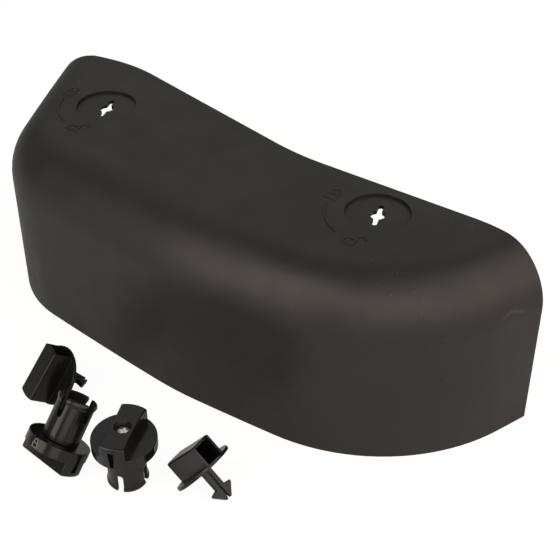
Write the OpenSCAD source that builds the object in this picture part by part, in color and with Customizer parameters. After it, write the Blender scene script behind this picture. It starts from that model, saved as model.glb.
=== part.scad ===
// Moulded end cover with two quarter-turn lock stations, laid out with its
// four loose lock pieces: two snap-in turn locks and two arrow-clip turn caps.
//
// Frame: +X along the row of lock stations, +Z up, the cover's lower edge and
// every loose piece on z = 0, origin in the middle of the layout's footprint.
// Lengths are in millimetres and angles in degrees.

/* [Cover] */
// Height of the cover, from its lower edge to the flat top
cover_h = 123.5; // [110:0.5:140]
// Thickness of the moulded wall
wall = 3; // [2.5:0.1:4]
// Radius of the shoulder between the flat top and the skirt
shoulder_r = 36; // [25:1:40]
// Draft of the skirt, opening downwards
skirt_draft = 0.3; // [0.1:0.1:1]

/* [Lock stations] */
// Distance between the two lock stations
station_pitch = 214; // [190:1:230]
// Radius of the round recess
recess_r = 20; // [19.8:0.1:21]
// Depth of the round recess
recess_depth = 2; // [1:0.1:2.5]
// Radius of the round part of the keyhole
keyhole_r = 4.5; // [4.4:0.1:5]
// Length of the keyhole's two arms, end to end
keyhole_span = 21; // [18:0.5:24]
// Width of the keyhole's arms
keyhole_arm_w = 3.2; // [3.1:0.1:3.3]
// Direction of the keyhole's arms, from +X
keyhole_turn = 108; // [90:1:135]
// Distance of the padlock icons from the middle of the station
icon_ring_r = 32; // [30:0.5:34]
// Height of the raised icons
icon_h = 0.6; // [0.3:0.1:0.8]

/* [Turn lock] */
// Radius of the grip's disc
grip_r = 19.5; // [18:0.1:19.5]
// Thickness of the grip's disc
grip_disc_h = 7; // [5:0.5:8]
// Height of the finger bar above the disc
grip_bar_h = 8.7; // [7:0.1:12]
// Width of the finger bar at its ends
grip_bar_w = 16; // [14:0.5:18]
// Height of the raised icon on the disc's rim
rim_icon_h = 0.4; // [0.2:0.1:0.6]
// Radius of the finger bar's top edges
grip_edge_r = 1.8; // [0.6:0.1:2]
// Width of the finger bar at its waist
grip_waist_w = 13.8; // [12.8:0.1:14]
// Length of the snap-in sleeve
sleeve_h = 27.5; // [24:0.5:30]
// Outer radius of the sleeve
sleeve_r = 11.65; // [11:0.05:12]
// How far the snap lips stand out of the sleeve
snap_lip = 0.85; // [0.5:0.05:1.2]

/* [Turn cap] */
// Radius of the cap's flange
flange_r = 19; // [18:0.1:19.5]
// Thickness of the cap's flange
flange_h = 2; // [1.5:0.1:3]
// Height of the hollow finger bar
cap_bar_h = 13.5; // [12:0.5:16]
// Width of the hollow finger bar
cap_bar_w = 14; // [12:0.5:16]
// Radius of the hollow finger bar's top edges
cap_edge_r = 1.3; // [0.6:0.1:1.4]
// Length of the arrow clip below the flange
clip_h = 22.5; // [20:0.5:26]
// Width of the arrow clip at its barbs
clip_w = 15.6; // [14:0.2:17]

/* [Hidden] */
$fn = 96;

// The layout's middle, measured from the point halfway between the stations
layout_middle = [10.06, -72.3];

// Where each loose piece stands and how it leans, from the same point
lock_1_place = [42, -166, 0];
lock_1_lean = [0, 0, 108.8];
lock_2_place = [2.4, -159.8, 39.02];
lock_2_lean = [-140.44, 0, 172.9];
cap_1_place = [-34, -119.3, 1.5];
cap_1_lean = [2.4, 52.7, -110];
cap_2_place = [101.4, -145.2, 1.24];
cap_2_lean = [-2.5, 52.1, 177.8];

// Plan of the skirt, round the front from the back of the left end: where it
// starts, its heading there, then the radius and sweep of each arc in turn
skirt_start = [-204.6, 74.5];
skirt_heading = -68.7;
skirt_arcs = [[2400, 2.9], [75, 59.5], [3000, 1.9], [260, 7.4], [3000, 1.1], [129, 64.7],
              [2400, 3.1]];

// Plan of the open back edge: corner points, left to right, with radii
back_corners = [[-240, 33], [-128, 54], [32, 24.5], [178, 28.5], [260, -2]];
back_radii = [0, 110, 190, 110, 0];

flat_lap = 6;
recess_floor_h = 3;
station_x = [-station_pitch / 2, station_pitch / 2];

// Heights along a turn lock, from the sleeve's open end up
disc_z = sleeve_h;
bar_z = disc_z + grip_disc_h;
grip_top = bar_z + grip_bar_h;
sleeve_wall = 2;
sleeve_gap = 0.3;
web_z = 20.5;
web_h = 4;
hub_r = 6;
hub_gap = 0.05;
washer_h = 1;
washer_z = web_z - sleeve_gap - washer_h;
nut_h = 3.2;
nut_flats = 7;
screw_r = 2;
screw_head_r = 4.8;
screw_head_h = 2.8;
counterbore_r = 5.1;
screw_seat_z = grip_top - 6.2;
screw_end_z = 15;
slot_w = 4;
slot_h = 13;
notch_depth = 3.5;

// Heights along a turn cap, from the clip's tip up
flange_z = clip_h;
cap_bar_z = flange_z + flange_h;
cap_wall = 1.5;
clip_t = 3;
clip_leg = 3.5;
clip_slot = 1.2;
cap_foot = 0.6;

black = "#3a3836";
gloss_black = "#242423";
zinc = "#c9ccd0";

// ---------- plan geometry ----------

function heading(a) = [cos(a), sin(a)];
function left_of(a) = [-sin(a), cos(a)];
function bearing(p, q) = atan2(q.y - p.y, q.x - p.x);

// Heading of the skirt where arc i starts, and the middle of arc i: each arc
// carries on from the one before without a corner
function arc_heading(i) =
    i == 0 ? skirt_heading : arc_heading(i - 1) + skirt_arcs[i - 1][1];
function arc_centre(i) =
    i == 0 ? skirt_start + skirt_arcs[0][0] * left_of(skirt_heading)
           : arc_centre(i - 1) + (skirt_arcs[i - 1][0] - skirt_arcs[i][0])
                                 * heading(arc_heading(i) - 90);

// Points along arc i, held in from the skirt by inset
function arc_points(i, inset, steps = 12) =
    [for (k = [0 : steps])
        arc_centre(i) + (skirt_arcs[i][0] - inset)
            * heading(arc_heading(i) - 90 + skirt_arcs[i][1] * k / steps)];

// A polyline with its inner corners rounded, as points
function rounded_corner(a, b, c, r, steps = 10) =
    let (h0 = bearing(a, b),
         turn = bearing(b, c) - h0,
         side = turn > 0 ? 1 : -1,
         start = b - r * tan(abs(turn) / 2) * heading(h0),
         centre = start + side * r * left_of(h0))
    [for (k = [0 : steps]) centre - side * r * left_of(h0 + turn * k / steps)];
function back_points() =
    [for (i = [1 : len(back_corners) - 2])
        each rounded_corner(back_corners[i - 1], back_corners[i],
                            back_corners[i + 1], back_radii[i])];

// ---------- cover ----------

// Solid outline of the wall's section, held in by inset: x is measured
// outwards from the skirt and y is height
module wall_outline(inset) {
    shoulder_z = cover_h - shoulder_r;
    flare = tan(skirt_draft) * shoulder_z;
    foot = -inset;
    lap_x = -shoulder_r - flat_lap - inset;
    difference() {
        polygon([[lap_x, foot], [lap_x, cover_h - inset], [-inset, cover_h - inset],
                 [-inset, shoulder_z], [flare - inset, foot]]);
        translate([-shoulder_r, shoulder_z]) difference() {
            square(shoulder_r + 1);
            circle(r = shoulder_r - inset);
        }
    }
}

module wall_section() difference() {
    wall_outline(0);
    wall_outline(wall);
}

// Moves in a coarse and a fine step, so that neighbouring arcs meet exactly
module exactly_at(p) {
    coarse = [round(p.x), round(p.y), 0];
    translate(coarse) translate([p.x, p.y, 0] - coarse) children();
}

module wall_arc(i)
    exactly_at(arc_centre(i))
        rotate_extrude(start = arc_heading(i) - 90, angle = skirt_arcs[i][1], $fn = 240)
            translate([skirt_arcs[i][0], 0]) wall_section();

module top_plate() {
    inset = shoulder_r + flat_lap / 2;
    translate([0, 0, cover_h - wall]) linear_extrude(wall)
        polygon([for (i = [0 : len(skirt_arcs) - 1]) each arc_points(i, inset)]);
}

module in_front_of_back_edge()
    translate([0, 0, -1]) linear_extrude(cover_h + 2)
        polygon([[-260, -120], [260, -120],
                 back_corners[len(back_corners) - 1],
                 for (i = [len(back_points()) - 1 : -1 : 0]) back_points()[i],
                 back_corners[0]]);

// A padlock seen from the front, standing on its body's lower edge
module padlock(open = false) {
    body = [8.4, 6.4];
    shackle_r = 3.3;
    bar = 1.3;
    leg = 2;
    translate([-body.x / 2, 0]) difference() {
        square(body);
        translate([bar, bar]) square([body.x - 2 * bar, body.y - 2 * bar]);
    }
    translate([open ? 2 * shackle_r - bar : 0, body.y]) {
        for (side = [-1, 1])
            if (!open || side < 0)
                translate([side * (shackle_r - bar / 2) - bar / 2, -0.1])
                    square([bar, leg + 0.2]);
        translate([0, leg]) intersection() {
            difference() {
                circle(r = shackle_r);
                circle(r = shackle_r - bar);
            }
            translate([-shackle_r, 0]) square([2 * shackle_r, shackle_r]);
        }
    }
}

// Upright columns in the outline of one station's marks: locked, unlocked and
// the arc between
module mark_columns() {
    arc_w = 1.6;
    column_h = wall + 2;
    translate([0, 0, -wall]) {
        linear_extrude(column_h) {
            translate([-icon_ring_r, -4.6]) padlock();
            translate([0.9, -icon_ring_r - 4.6]) padlock(open = true);
        }
        rotate([0, 0, 197]) rotate_extrude(angle = 55)
            translate([icon_ring_r - arc_w / 2, 0]) square([arc_w, column_h]);
    }
}

// The cover's skin, before its back is cut and its stations are made
module skin() {
    for (i = [0 : len(skirt_arcs) - 1]) wall_arc(i);
    top_plate();
}

module keyhole() {
    arm = keyhole_span / 2 - keyhole_arm_w / 2;
    cylinder(r = keyhole_r, h = 20, center = true);
    rotate([0, 0, keyhole_turn]) {
        cube([2 * arm, keyhole_arm_w, 20], center = true);
        for (side = [-1, 1])
            translate([side * arm, 0, 0]) cylinder(d = keyhole_arm_w, h = 20, center = true);
    }
}

module cover_shell() color(black) {
    pan_h = recess_depth + recess_floor_h;
    difference() {
        union() {
            intersection() {
                skin();
                in_front_of_back_edge();
            }
            // marks follow the skin, even where it starts to curve down
            intersection() {
                translate([0, 0, icon_h]) skin();
                for (x = station_x) translate([x, 0, cover_h]) mark_columns();
            }
            for (x = station_x)
                translate([x, 0, cover_h - pan_h]) cylinder(r = recess_r + wall, h = pan_h);
        }
        for (x = station_x) translate([x, 0, cover_h]) {
            translate([0, 0, -recess_depth]) cylinder(r = recess_r, h = recess_depth + 1);
            keyhole();
        }
    }
}

// ---------- turn lock, standing on the sleeve's open end ----------

// Upright outline, w wide and h high from the origin's level, with its top
// corners rounded
module round_topped(w, h, r) difference() {
    translate([-w / 2, 0]) square([w, h]);
    for (side = [0, 1]) mirror([side, 0]) translate([w / 2 - r, h - r]) difference() {
        square(r + 1);
        circle(r = r);
    }
}

// A bar across a disc of radius r, its top edges rounded all round
module round_edged_bar(r, w, h, edge_r) intersection() {
    rotate_extrude() intersection() {
        round_topped(2 * r, h, edge_r);
        square(2 * r);
    }
    translate([-r - 1, 0, 0]) rotate([90, 0, 90])
        linear_extrude(2 * r + 2) round_topped(w, h, edge_r);
}

// The turn lock's bar, waisted by two large cylinders
module waisted_bar(r, w, waist, h) {
    end_x = sqrt(r * r - w * w / 4);
    sag = (w - waist) / 2;
    waist_r = (end_x * end_x + sag * sag) / (2 * sag);
    difference() {
        round_edged_bar(r, w, h, grip_edge_r);
        for (side = [-1, 1])
            translate([0, side * (waist / 2 + waist_r), -1])
                cylinder(r = waist_r, h = h + 2, $fn = 256);
    }
}

module lock_grip() color(gloss_black) difference() {
    union() {
        translate([0, 0, disc_z]) cylinder(r = grip_r, h = grip_disc_h);
        translate([0, 0, bar_z])
            waisted_bar(grip_r, grip_bar_w, grip_waist_w, grip_bar_h);
        translate([0, 0, washer_z + washer_h])
            cylinder(r = hub_r, h = disc_z - washer_z - washer_h);
        // padlock on the rim, square to the bar
        translate([0, -grip_r - rim_icon_h + 0.05, disc_z + grip_disc_h - 0.6])
            rotate([-90, 0, 0]) linear_extrude(1) scale(0.5) padlock();
    }
    translate([0, 0, screw_seat_z]) cylinder(r = counterbore_r, h = 20);
    translate([0, 0, washer_z]) cylinder(r = screw_r + 0.2, h = 30);
    // pointer notch at one end of the bar, narrower downwards
    translate([-grip_r - 1, 0, disc_z]) rotate([90, 0, 90]) linear_extrude(notch_depth + 1)
        polygon([[-2, 12.5], [-0.9, 0.8], [0.9, 0.8], [2, 12.5]]);
}

module lock_sleeve() color(gloss_black) difference() {
    rotate_extrude() {
        translate([sleeve_r - sleeve_wall, 0]) square([sleeve_wall, sleeve_h - sleeve_gap]);
        polygon([[sleeve_r - 0.5, 0], [sleeve_r, 0], [sleeve_r + snap_lip, 1.6],
                 [sleeve_r + snap_lip, 2.4], [sleeve_r, 4.6], [sleeve_r - 0.5, 4.6]]);
        translate([hub_r + hub_gap, web_z]) square([sleeve_r - hub_r - hub_gap - 1, web_h]);
    }
    for (turn = [0, 90])
        rotate([0, 0, turn]) translate([-20, -slot_w / 2, -1]) {
            cube([40, slot_w, slot_h + 1 - slot_w / 2]);
            translate([0, slot_w / 2, slot_h + 1 - slot_w / 2]) rotate([0, 90, 0])
                cylinder(d = slot_w, h = 40);
        }
}

module lock_screw() color(zinc) difference() {
    union() {
        translate([0, 0, screw_end_z]) cylinder(r = screw_r, h = screw_seat_z - screw_end_z + 1);
        translate([0, 0, screw_seat_z]) rotate_extrude() intersection() {
            square([screw_head_r, screw_head_h]);
            translate([0, screw_head_h - 8.5]) circle(r = 8.5);
        }
    }
    for (turn = [0, 90])
        translate([0, 0, screw_seat_z + screw_head_h]) rotate([0, 0, turn])
            cube([5, 1.3, 3], center = true);
}

module lock_washer() color(zinc) translate([0, 0, washer_z]) difference() {
    cylinder(r = 7.5, h = washer_h);
    translate([0, 0, -1]) cylinder(r = screw_r + 0.15, h = 3);
}

module lock_nut() color(zinc) translate([0, 0, washer_z - nut_h]) difference() {
    cylinder(d = nut_flats / cos(30), h = nut_h, $fn = 6);
    translate([0, 0, -1]) cylinder(r = screw_r + 0.05, h = nut_h + 2);
}

// ---------- turn cap, standing on the clip's tip ----------

module clip_leg_outline() {
    barb_z = 8;
    polygon([[clip_slot / 2, flange_z + 0.5], [clip_leg, flange_z + 0.5],
             [clip_leg, barb_z + 0.8], [clip_w / 2, barb_z - 0.2],
             [clip_w / 2, barb_z - 1.6], [clip_slot / 2 + 1, 0],
             [clip_slot / 2 + 0.6, 0.2], [clip_slot / 2, 3]]);
}

// Sloped foot along both sides of a bar, where it meets the flange
module bar_foot(half_length, w)
    translate([-half_length, 0, 0]) rotate([90, 0, 90]) linear_extrude(2 * half_length)
        polygon([[-w / 2 - cap_foot, 0], [w / 2 + cap_foot, 0],
                 [w / 2 - 0.1, cap_foot + 0.1], [-w / 2 + 0.1, cap_foot + 0.1]]);

module turn_cap() color(gloss_black) {
    bar_r = flange_r - 0.5;
    translate([0, 0, flange_z]) cylinder(r = flange_r, h = flange_h);
    translate([0, 0, cap_bar_z]) difference() {
        union() {
            round_edged_bar(bar_r, cap_bar_w, cap_bar_h, cap_edge_r);
            bar_foot(bar_r - 2, cap_bar_w);
        }
        translate([-bar_r - 1, -cap_bar_w / 2 + cap_wall, 0])
            cube([2 * bar_r - cap_wall, cap_bar_w - 2 * cap_wall, cap_bar_h - cap_wall]);
    }
    for (side = [0, 1]) mirror([0, side, 0])
        translate([-clip_t / 2, 0, 0]) rotate([90, 0, 90])
            linear_extrude(clip_t) clip_leg_outline();
}

// ---------- layout ----------

module placed(place = [0, 0, 0], lean = [0, 0, 0])
    translate([-layout_middle.x, -layout_middle.y, 0])
        translate(place) rotate(lean) children();

module lock_1() placed(lock_1_place, lock_1_lean) children();
module lock_2() placed(lock_2_place, lock_2_lean) children();

placed() cover_shell();
lock_1() lock_grip();  // lock_grip_1
lock_1() lock_sleeve();  // lock_sleeve_1
lock_1() lock_screw();  // lock_screw_1
lock_1() lock_washer();  // lock_washer_1
lock_1() lock_nut();  // lock_nut_1
lock_2() lock_grip();  // lock_grip_2
lock_2() lock_sleeve();  // lock_sleeve_2
lock_2() lock_screw();  // lock_screw_2
lock_2() lock_washer();  // lock_washer_2
lock_2() lock_nut();  // lock_nut_2
placed(cap_1_place, cap_1_lean) turn_cap();  // turn_cap_1
placed(cap_2_place, cap_2_lean) turn_cap();  // turn_cap_2
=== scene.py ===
"""Studio scene for the armrest cover and its loose turn locks and turn caps."""
import math

import bmesh
import bpy
from mathutils import Euler, Matrix, Vector
from mathutils.bvhtree import BVHTree


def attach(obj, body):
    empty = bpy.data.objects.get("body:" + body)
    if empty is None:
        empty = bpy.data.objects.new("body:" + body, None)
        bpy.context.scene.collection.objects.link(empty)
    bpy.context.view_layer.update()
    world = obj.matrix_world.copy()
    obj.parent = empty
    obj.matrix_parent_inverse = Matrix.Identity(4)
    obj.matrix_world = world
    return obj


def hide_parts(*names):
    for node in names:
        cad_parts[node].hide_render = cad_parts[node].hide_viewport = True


MM = 0.001

# Camera: where it looks and how far off (m), from which side (degrees, 0 looks along
# +Y and 90 along -X), how high (degrees), and its lens
CAMERA_TARGET = (0.0321, 0.0633, 0.0475)
CAMERA_DISTANCE = 0.800
CAMERA_AZIMUTH = 35.04
CAMERA_ELEVATION = 38.89
CAMERA_LENS_MM = 78.77
CAMERA_SENSOR_MM = 36.0

# Floor and world: their plain grey for the object's light and shadow, and the white
# that the camera, and in a smaller share gloss, sees instead
FLOOR_SIZE = 16.0
FLOOR_COLOUR = (0.66, 0.66, 0.66, 1.0)
FLOOR_WHITE_SHARE = 0.85
FLOOR_WHITE = 1.1
FLOOR_ROUGHNESS = 0.9
FLOOR_GLOSS_SHARE = 0.05
WORLD_STRENGTH = 0.16
BACKDROP_WHITE = 0.95
WORLD_GLOSS_SHARE = 0.06

WHITE = (1.0, 1.0, 1.0, 1.0)
WARM = (1.0, 0.88, 0.80)
NEUTRAL = (1.0, 1.0, 1.0)

# Softboxes: name, azimuth and elevation from the object (degrees), distance, width,
# height (m), power (W) and colour
SOFTBOXES = [
    ("left", -109, 38, 1.7, 0.85, 2.2, 16.0, WARM),
    ("front", -56, 32, 1.7, 1.1, 1.7, 8.0, WARM),
    ("right", 3, 40, 1.7, 2.6, 2.2, 27.5, WARM),
    ("back", 130, 44, 1.8, 2.2, 1.0, 2.9, NEUTRAL),
]
SOFTBOX_TARGET = (0.0, 0.0, 0.05)

# Colours of the plastics and metals: the two tones that each one wanders between
COVER_TONES = ((0.0078, 0.0061, 0.0048, 1.0), (0.0108, 0.0087, 0.0070, 1.0))
DUST = (0.20, 0.19, 0.175, 1.0)
SCUFFED = (0.060, 0.054, 0.050, 1.0)
LOCK_TONES = ((0.0058, 0.0055, 0.0052, 1.0), (0.0082, 0.0078, 0.0074, 1.0))
ICON_TONES = ((0.12, 0.12, 0.112, 1.0), (0.19, 0.19, 0.18, 1.0))
ZINC_TONES = ((0.80, 0.81, 0.82, 1.0), (0.93, 0.93, 0.92, 1.0))

# Where the turn locks lie (mm) and how they lean (degrees), as in the CAD model
LOCK_PLACES = {
    1: ((31.94, -93.7, 0.0), (0.0, 0.0, 108.8)),
    2: ((-7.66, -87.5, 39.02), (-140.44, 0.0, 172.9)),
}
LOCK_GRIP_RADIUS = 19.5 * MM
ICON_CLEARANCE = 0.1 * MM

# A small handling scuff on the shoulder: points along it and its half width
SCUFF_POINTS_MM = [(189.8, 59.2, 93.8), (192.0, 66.2, 96.8), (196.4, 75.2, 92.8)]
SCUFF_PATH = [Vector(point) * MM for point in SCUFF_POINTS_MM]
SCUFF_REACH = 1.6 * MM

# Moulded edge radii and the steps they are made in, the angle (degrees) from which an
# edge counts as sharp, and the one below which two faces count as flat
COVER_EDGE = 0.35 * MM
LOCK_EDGE = 0.3 * MM
METAL_EDGE = 0.12 * MM
EDGE_STEPS = 3
SHARP_ANGLE = math.radians(32)
FLAT_ANGLE = math.radians(0.3)

# Corners closer than this are one corner, and faces below this area (square metres)
# are slivers
WELD_GAP = 3e-6
SLIVER_AREA = (0.3 * MM) ** 2


# ---------- node helpers ----------

class Graph:
    """A material's node tree, with short calls for the nodes used here."""

    def __init__(self, name):
        self.material = bpy.data.materials.new(name)
        self.material.use_nodes = True
        self.tree = self.material.node_tree
        self.shader = self.tree.nodes["Principled BSDF"]
        self.coords = self.tree.nodes.new("ShaderNodeTexCoord").outputs["Object"]

    def link(self, output, target):
        self.tree.links.new(output, target)

    def set(self, **values):
        """Set sockets of the main shader that are the same all over."""
        for name, value in values.items():
            self.shader.inputs[name.replace("_", " ")].default_value = value

    def noise(self, scale, detail=4.0, roughness=0.5, distortion=0.0):
        node = self.tree.nodes.new("ShaderNodeTexNoise")
        node.inputs["Scale"].default_value = scale
        node.inputs["Detail"].default_value = detail
        node.inputs["Roughness"].default_value = roughness
        node.inputs["Distortion"].default_value = distortion
        self.link(self.coords, node.inputs["Vector"])
        return node.outputs["Fac"]

    def cells(self, scale):
        """Distance to the nearest of many scattered points."""
        node = self.tree.nodes.new("ShaderNodeTexVoronoi")
        node.inputs["Scale"].default_value = scale
        self.link(self.coords, node.inputs["Vector"])
        return node.outputs["Distance"]

    def ramp(self, value, low, high, start=0.0, end=1.0):
        """Remap a value from low..high to start..end, clamped."""
        node = self.tree.nodes.new("ShaderNodeMapRange")
        node.inputs["From Min"].default_value = low
        node.inputs["From Max"].default_value = high
        node.inputs["To Min"].default_value = start
        node.inputs["To Max"].default_value = end
        self.link(value, node.inputs["Value"])
        return node.outputs["Result"]

    def math(self, operation, a, b):
        node = self.tree.nodes.new("ShaderNodeMath")
        node.operation = operation
        for socket, value in zip(node.inputs, (a, b)):
            if isinstance(value, (int, float)):
                socket.default_value = value
            else:
                self.link(value, socket)
        return node.outputs["Value"]

    def vector(self, operation, a, b):
        """Vector maths on two vectors, each a Vector or an output."""
        node = self.tree.nodes.new("ShaderNodeVectorMath")
        node.operation = operation
        for socket, value in zip(node.inputs, (a, b)):
            if isinstance(value, Vector):
                socket.default_value = value
            else:
                self.link(value, socket)
        return node

    def near_line(self, start, end, reach):
        """1 on the line between two points of the piece, fading to 0 at reach from it."""
        span = end - start
        offset = self.vector("SUBTRACT", self.coords, start).outputs["Vector"]
        along = self.vector("DOT_PRODUCT", offset, span / span.length_squared)
        foot = self.tree.nodes.new("ShaderNodeVectorMath")
        foot.operation = "SCALE"
        foot.inputs["Vector"].default_value = span
        self.link(self.ramp(along.outputs["Value"], 0.0, 1.0), foot.inputs["Scale"])
        gap = self.vector("DISTANCE", offset, foot.outputs["Vector"])
        return self.ramp(gap.outputs["Value"], reach, 0.0)

    def mix(self, factor, a, b):
        """Mix two colours, each a tuple or an output."""
        node = self.tree.nodes.new("ShaderNodeMix")
        node.data_type = "RGBA"
        self.link(factor, node.inputs["Factor"])
        for name, value in (("A_Color", a), ("B_Color", b)):
            socket = next(s for s in node.inputs if s.identifier == name)
            if isinstance(value, tuple):
                socket.default_value = value
            else:
                self.link(value, socket)
        return next(s for s in node.outputs if s.identifier == "Result_Color")

    def bump(self, height, distance, strength, below=None):
        """A bumped normal, on top of the one below where there is one."""
        node = self.tree.nodes.new("ShaderNodeBump")
        node.inputs["Strength"].default_value = strength
        node.inputs["Distance"].default_value = distance
        self.link(height, node.inputs["Height"])
        if below is not None:
            self.link(below, node.inputs["Normal"])
        return node.outputs["Normal"]


# ---------- materials ----------

def cover_plastic():
    """Satin black moulded plastic: fine grain, faint flow, handling marks and dust."""
    g = Graph("cover_plastic")
    g.set(Specular_IOR_Level=0.5)
    flow = g.noise(9.0, detail=3.0, distortion=0.6)
    mottle = g.noise(55.0, detail=4.0)
    tone = g.ramp(flow, 0.3, 0.7)
    colour = g.mix(tone, *COVER_TONES)
    sparse = g.ramp(g.noise(26.0, detail=1.0), 0.60, 0.64)
    speck = g.math("MULTIPLY", g.ramp(g.cells(240.0), 0.075, 0.045), sparse)
    colour = g.mix(g.math("MULTIPLY", speck, 0.55), colour, DUST)
    strokes = [g.near_line(a, b, SCUFF_REACH) for a, b in zip(SCUFF_PATH, SCUFF_PATH[1:])]
    scuff = g.math("MAXIMUM", *strokes)
    broken = g.ramp(g.noise(520.0, detail=4.0), 0.38, 0.62, 0.0, 0.8)
    colour = g.mix(g.math("MULTIPLY", scuff, broken), colour, SCUFFED)
    g.link(colour, g.shader.inputs["Base Color"])
    rub = g.ramp(g.noise(14.0, detail=5.0, roughness=0.6), 0.35, 0.65, 0.43, 0.52)
    rough = g.math("ADD", rub, g.ramp(mottle, 0.3, 0.7, -0.025, 0.025))
    g.link(rough, g.shader.inputs["Roughness"])
    grain = g.bump(g.noise(2600.0, detail=2.0), distance=0.03 * MM, strength=0.25)
    ripple = g.bump(g.noise(38.0, detail=2.0), distance=0.3 * MM, strength=0.10, below=grain)
    g.link(ripple, g.shader.inputs["Normal"])
    return g.material


def lock_plastic():
    """Glossier, darker plastic of the small mouldings, with fine scuffs."""
    g = Graph("lock_plastic")
    g.set(Specular_IOR_Level=0.38)
    tone = g.ramp(g.noise(120.0, detail=3.0), 0.3, 0.7)
    colour = g.mix(tone, *LOCK_TONES)
    g.link(colour, g.shader.inputs["Base Color"])
    scuff = g.ramp(g.noise(420.0, detail=5.0, roughness=0.7), 0.52, 0.72)
    g.link(g.ramp(scuff, 0.0, 1.0, 0.20, 0.31), g.shader.inputs["Roughness"])
    grain = g.bump(g.noise(1400.0, detail=1.0), distance=0.01 * MM, strength=0.08)
    sink = g.bump(g.noise(160.0, detail=1.0), distance=0.2 * MM, strength=0.10, below=grain)
    g.link(sink, g.shader.inputs["Normal"])
    return g.material


def icon_grey():
    """Lighter grey faces of the raised lock icons."""
    g = Graph("icon_grey")
    tone = g.ramp(g.noise(900.0, detail=3.0), 0.3, 0.7)
    colour = g.mix(tone, *ICON_TONES)
    g.link(colour, g.shader.inputs["Base Color"])
    g.link(g.ramp(tone, 0.0, 1.0, 0.38, 0.55), g.shader.inputs["Roughness"])
    grain = g.bump(g.noise(2400.0, detail=2.0), distance=0.02 * MM, strength=0.3)
    g.link(grain, g.shader.inputs["Normal"])
    return g.material


def zinc():
    """Bright zinc plate with fine crystalline mottling."""
    g = Graph("zinc")
    g.set(Metallic=1.0)
    tone = g.ramp(g.noise(900.0, detail=4.0), 0.35, 0.65)
    colour = g.mix(tone, *ZINC_TONES)
    g.link(colour, g.shader.inputs["Base Color"])
    rough = g.ramp(g.noise(1500.0, detail=3.0), 0.3, 0.7, 0.36, 0.50)
    g.link(rough, g.shader.inputs["Roughness"])
    grain = g.bump(g.noise(2200.0, detail=3.0), distance=0.05 * MM, strength=0.4)
    g.link(grain, g.shader.inputs["Normal"])
    return g.material


# ---------- pieces ----------

def add_object(name, data):
    """A new object with this data, linked into the scene."""
    made = bpy.data.objects.new(name, data)
    bpy.context.scene.collection.objects.link(made)
    return made


def is_outer_edge(edge):
    """True for a sharp edge that stands out, where moulding leaves a small radius."""
    if len(edge.link_faces) != 2:
        return False
    return edge.calc_face_angle_signed(0.0) > SHARP_ANGLE


def round_outer_edges(work, radius):
    """Round the outer edges of a bmesh, with no corner thrown clear of its surface."""
    surface = BVHTree.FromBMesh(work)
    outer = [edge for edge in work.edges if is_outer_edge(edge)]
    bmesh.ops.bevel(work, geom=outer, offset=radius, segments=EDGE_STEPS, profile=0.5,
                    affect="EDGES", clamp_overlap=False)
    for corner in work.verts:
        on_surface, _, _, gap = surface.find_nearest(corner.co)
        if gap > radius:
            corner.co = on_surface


def weld(work):
    """Join corners that meet, and drop small faces left lying back to back."""
    bmesh.ops.remove_doubles(work, verts=work.verts, dist=WELD_GAP)
    bmesh.ops.dissolve_degenerate(work, edges=work.edges, dist=WELD_GAP)
    slivers = [face for face in work.faces if face.calc_area() < SLIVER_AREA]
    bmesh.ops.triangulate(work, faces=slivers)
    same_corners = {}
    for face in work.faces:
        same_corners.setdefault(frozenset(face.verts), []).append(face)
    doubled = [face for faces in same_corners.values() if len(faces) > 1 for face in faces]
    bmesh.ops.delete(work, geom=doubled, context="FACES")


def rounded_copy(node, radius):
    """A new piece in a CAD node's shape, its outer edges rounded and smoothly shaded."""
    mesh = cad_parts[node].data.copy()
    mesh.name = f"{node}_moulded"
    work = bmesh.new()
    work.from_mesh(mesh)
    weld(work)
    bmesh.ops.dissolve_limit(work, angle_limit=FLAT_ANGLE, verts=work.verts,
                             edges=work.edges)
    work.normal_update()
    round_outer_edges(work, radius)
    weld(work)
    for face in work.faces:
        face.smooth = True
    work.to_mesh(mesh)
    work.free()
    mesh.set_sharp_from_angle(angle=SHARP_ANGLE)
    piece = add_object(f"{node}_moulded", mesh)
    flats = piece.modifiers.new("flat_faces", "WEIGHTED_NORMAL")
    flats.keep_sharp = True
    return piece


def dress(node, body, material, radius):
    """Stand a rounded, finished piece in for a CAD node."""
    piece = rounded_copy(node, radius)
    piece.data.materials.clear()
    piece.data.materials.append(material)
    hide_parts(node)
    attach(piece, body)
    return piece


def grey_icon(grip, number, material):
    """Give the icon faces, which stand proud of a grip's rim, their own material."""
    place, lean = LOCK_PLACES[number]
    turn = Euler([math.radians(angle) for angle in lean], "XYZ")
    local = Matrix.LocRotScale(Vector(place) * MM, turn, None).inverted()
    grip.data.materials.append(material)
    for face in grip.data.polygons:
        centre = local @ face.center
        if math.hypot(centre.x, centre.y) > LOCK_GRIP_RADIUS + ICON_CLEARANCE:
            face.material_index = 1


# ---------- studio ----------

def heading(azimuth, elevation):
    """Unit vector from the object: azimuth from +X towards +Y, elevation up."""
    a, e = math.radians(azimuth), math.radians(elevation)
    return Vector((math.cos(a) * math.cos(e), math.sin(a) * math.cos(e), math.sin(e)))


def aimed(location, target):
    """Matrix of a lamp or camera at location, looking at target."""
    turn = (Vector(target) - Vector(location)).to_track_quat("-Z", "Y")
    return Matrix.LocRotScale(Vector(location), turn, None)


def add_softbox(name, azimuth, elevation, distance, width, height, power, colour):
    """A rectangular lamp that faces the object."""
    lamp = bpy.data.lights.new(name, "AREA")
    lamp.shape = "RECTANGLE"
    lamp.size = width
    lamp.size_y = height
    lamp.energy = power
    lamp.color = colour
    holder = add_object(name, lamp)
    holder.matrix_world = aimed(heading(azimuth, elevation) * distance, SOFTBOX_TARGET)


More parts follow.
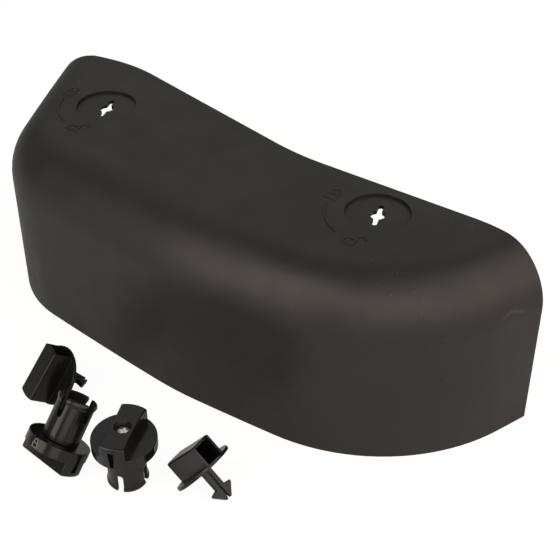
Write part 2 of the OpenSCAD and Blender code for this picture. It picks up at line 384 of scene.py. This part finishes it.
def white_share(tree, camera, gloss):
    """How much of a surface shows as plain white: to the camera, through glass, in gloss."""
    path = tree.nodes.new("ShaderNodeLightPath")
    shares = (("Is Camera Ray", camera), ("Is Transmission Ray", camera), ("Is Glossy Ray", gloss))
    total = None
    for name, share in shares:
        part = tree.nodes.new("ShaderNodeMath")
        part.operation = "MULTIPLY_ADD"
        part.inputs[1].default_value = share
        part.inputs[2].default_value = 0.0
        tree.links.new(path.outputs[name], part.inputs[0])
        if total is not None:
            tree.links.new(total, part.inputs[2])
        total = part.outputs["Value"]
    return total


def add_floor():
    """A plain floor: matte grey under the lamps, nearly white to the camera."""
    mesh = bpy.data.meshes.new("floor")
    half = FLOOR_SIZE / 2
    corners = [(-half, -half, 0), (half, -half, 0), (half, half, 0), (-half, half, 0)]
    mesh.from_pydata(corners, [], [(0, 1, 2, 3)])
    floor = add_object("floor", mesh)
    material = bpy.data.materials.new("floor")
    material.use_nodes = True
    tree = material.node_tree
    matte = tree.nodes["Principled BSDF"]
    matte.inputs["Base Color"].default_value = FLOOR_COLOUR
    matte.inputs["Roughness"].default_value = FLOOR_ROUGHNESS
    glow = tree.nodes.new("ShaderNodeEmission")
    glow.inputs["Strength"].default_value = FLOOR_WHITE
    blend = tree.nodes.new("ShaderNodeMixShader")
    share = white_share(tree, FLOOR_WHITE_SHARE, FLOOR_GLOSS_SHARE)
    tree.links.new(share, blend.inputs["Fac"])
    tree.links.new(matte.outputs["BSDF"], blend.inputs[1])
    tree.links.new(glow.outputs["Emission"], blend.inputs[2])
    tree.links.new(blend.outputs["Shader"], tree.nodes["Material Output"].inputs["Surface"])
    mesh.materials.append(material)


def add_world():
    """An even, dim room for light, with a white backdrop for the camera."""
    world = bpy.data.worlds.new("studio")
    bpy.context.scene.world = world
    world.use_nodes = True
    tree = world.node_tree
    room = tree.nodes["Background"]
    room.inputs["Color"].default_value = WHITE
    room.inputs["Strength"].default_value = WORLD_STRENGTH
    white = tree.nodes.new("ShaderNodeBackground")
    white.inputs["Color"].default_value = WHITE
    white.inputs["Strength"].default_value = BACKDROP_WHITE
    blend = tree.nodes.new("ShaderNodeMixShader")
    tree.links.new(white_share(tree, 1.0, WORLD_GLOSS_SHARE), blend.inputs["Fac"])
    tree.links.new(room.outputs["Background"], blend.inputs[1])
    tree.links.new(white.outputs["Background"], blend.inputs[2])
    tree.links.new(blend.outputs["Shader"], tree.nodes["World Output"].inputs["Surface"])


def add_camera():
    data = bpy.data.cameras.new("camera")
    data.lens = CAMERA_LENS_MM
    data.sensor_width = CAMERA_SENSOR_MM
    camera = add_object("camera", data)
    target = Vector(CAMERA_TARGET)
    away = heading(CAMERA_AZIMUTH - 90, CAMERA_ELEVATION)
    camera.matrix_world = aimed(target + away * CAMERA_DISTANCE, target)
    bpy.context.scene.camera = camera


# ---------- build ----------

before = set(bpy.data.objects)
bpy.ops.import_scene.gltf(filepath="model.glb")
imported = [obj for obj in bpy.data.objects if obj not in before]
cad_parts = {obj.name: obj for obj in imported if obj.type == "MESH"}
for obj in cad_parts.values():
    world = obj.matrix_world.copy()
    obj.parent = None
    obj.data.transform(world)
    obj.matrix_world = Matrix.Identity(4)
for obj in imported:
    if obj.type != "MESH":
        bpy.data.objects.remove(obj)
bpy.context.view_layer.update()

gloss = lock_plastic()
metal = zinc()
icon = icon_grey()
dress("cover_shell", "cover", cover_plastic(), COVER_EDGE)
for number in LOCK_PLACES:
    grip_body = f"lock_{number}_grip"
    grip = dress(f"lock_grip_{number}", grip_body, gloss, LOCK_EDGE)
    grey_icon(grip, number, icon)
    dress(f"lock_sleeve_{number}", f"lock_{number}_sleeve", gloss, LOCK_EDGE)
    for part in ("screw", "washer", "nut"):
        dress(f"lock_{part}_{number}", grip_body, metal, METAL_EDGE)
    dress(f"turn_cap_{number}", f"cap_{number}", gloss, LOCK_EDGE)

add_floor()
add_world()
for softbox in SOFTBOXES:
    add_softbox(*softbox)
add_camera()
bpy.context.scene.view_settings.view_transform = "Standard"
